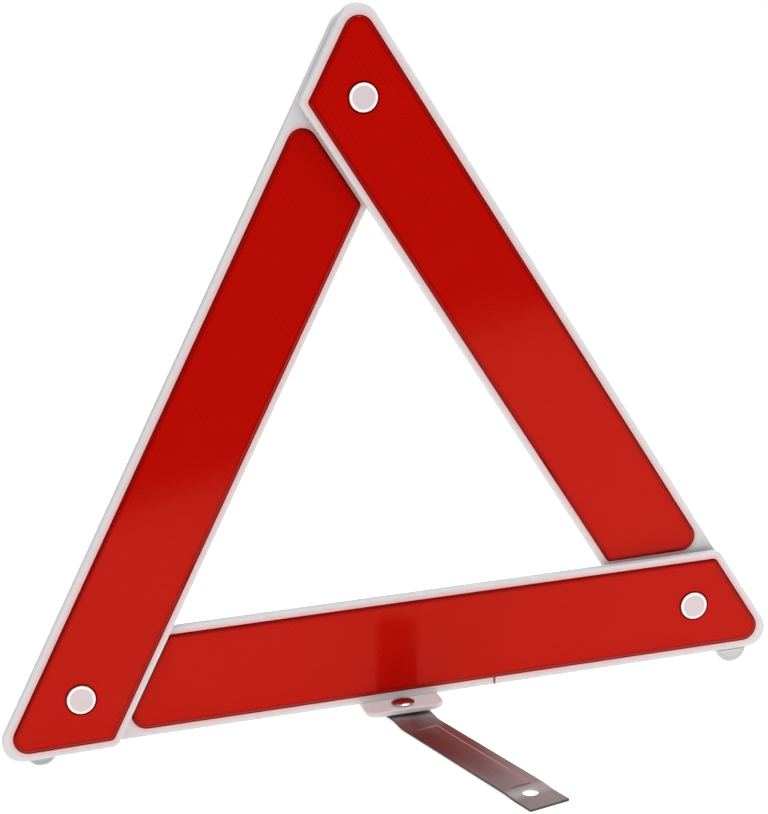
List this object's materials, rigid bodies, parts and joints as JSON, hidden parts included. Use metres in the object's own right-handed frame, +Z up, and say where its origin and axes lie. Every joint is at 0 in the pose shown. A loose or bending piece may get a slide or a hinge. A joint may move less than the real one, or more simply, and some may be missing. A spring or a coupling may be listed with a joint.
{
  "type": "warning triangle",
  "caption": "Folding roadside warning triangle: red reflector arms in white frames, riveted corners and a turning steel stand bar.",
  "frame": {"origin": "on the ground under the stand's rivet, midway between the two ends of the base arm", "axes": "+X along the base arm to the right seen from the front, +Z up, -Y to the front, the side with the red lenses"},
  "size_m": [0.4344, 0.2934, 0.3866],
  "materials": {
    "white_plastic": "moulded, satin",
    "red_lens": "clear polished, prismatic behind the face",
    "white_rivet": "moulded, satin",
    "soft_white_plastic": "matte",
    "stand_steel": "bright rolled",
    "rivet_steel": "bright plated",
    "zinc_steel": "zinc plated"
  },
  "bodies": {
    "base_arm": {"base_housing": "white_plastic", "base_lens": "red_lens", "base_pivot_rivet": "white_rivet", "base_pivot_spacer": "soft_white_plastic", "base_pivot_retainer": "zinc_steel", "corner_socket": "soft_white_plastic", "right_foot": "soft_white_plastic", "left_foot": "soft_white_plastic", "stand_rivet": "rivet_steel"},
    "right_arm": {"right_housing": "white_plastic", "right_lens": "red_lens", "apex_pivot_rivet": "white_rivet", "apex_pivot_spacer": "soft_white_plastic", "apex_pivot_retainer": "zinc_steel"},
    "left_arm": {"left_housing": "white_plastic", "left_lens": "red_lens", "corner_stud": "white_rivet"},
    "stand": {"stand_bar": "stand_steel", "upper_stand_washer": "zinc_steel", "lower_stand_washer": "zinc_steel"}
  },
  "joints": [
    {"name": "right_arm_fold", "type": "hinge", "parent": "base_arm", "child": "right_arm", "pos_m": [0.17391, 0.01015, 0.0371], "axis": [-0.0244, -0.9988, -0.0423], "range_deg": [0, 60]},
    {"name": "left_arm_fold", "type": "hinge", "parent": "right_arm", "child": "left_arm", "pos_m": [0, 0.01015, 0.33831], "axis": [0.0488, -0.9988, 0], "range_deg": [-300, 0]},
    {"name": "stand_turn", "type": "hinge", "parent": "base_arm", "child": "stand", "pos_m": [0, 0, 0.0035], "axis": [0, 0, 1], "range_deg": [-103, 77]}
  ],
  "couplings": [
    {"joint": "left_arm_fold", "follows": "right_arm_fold", "ratio": -5}
  ]
}
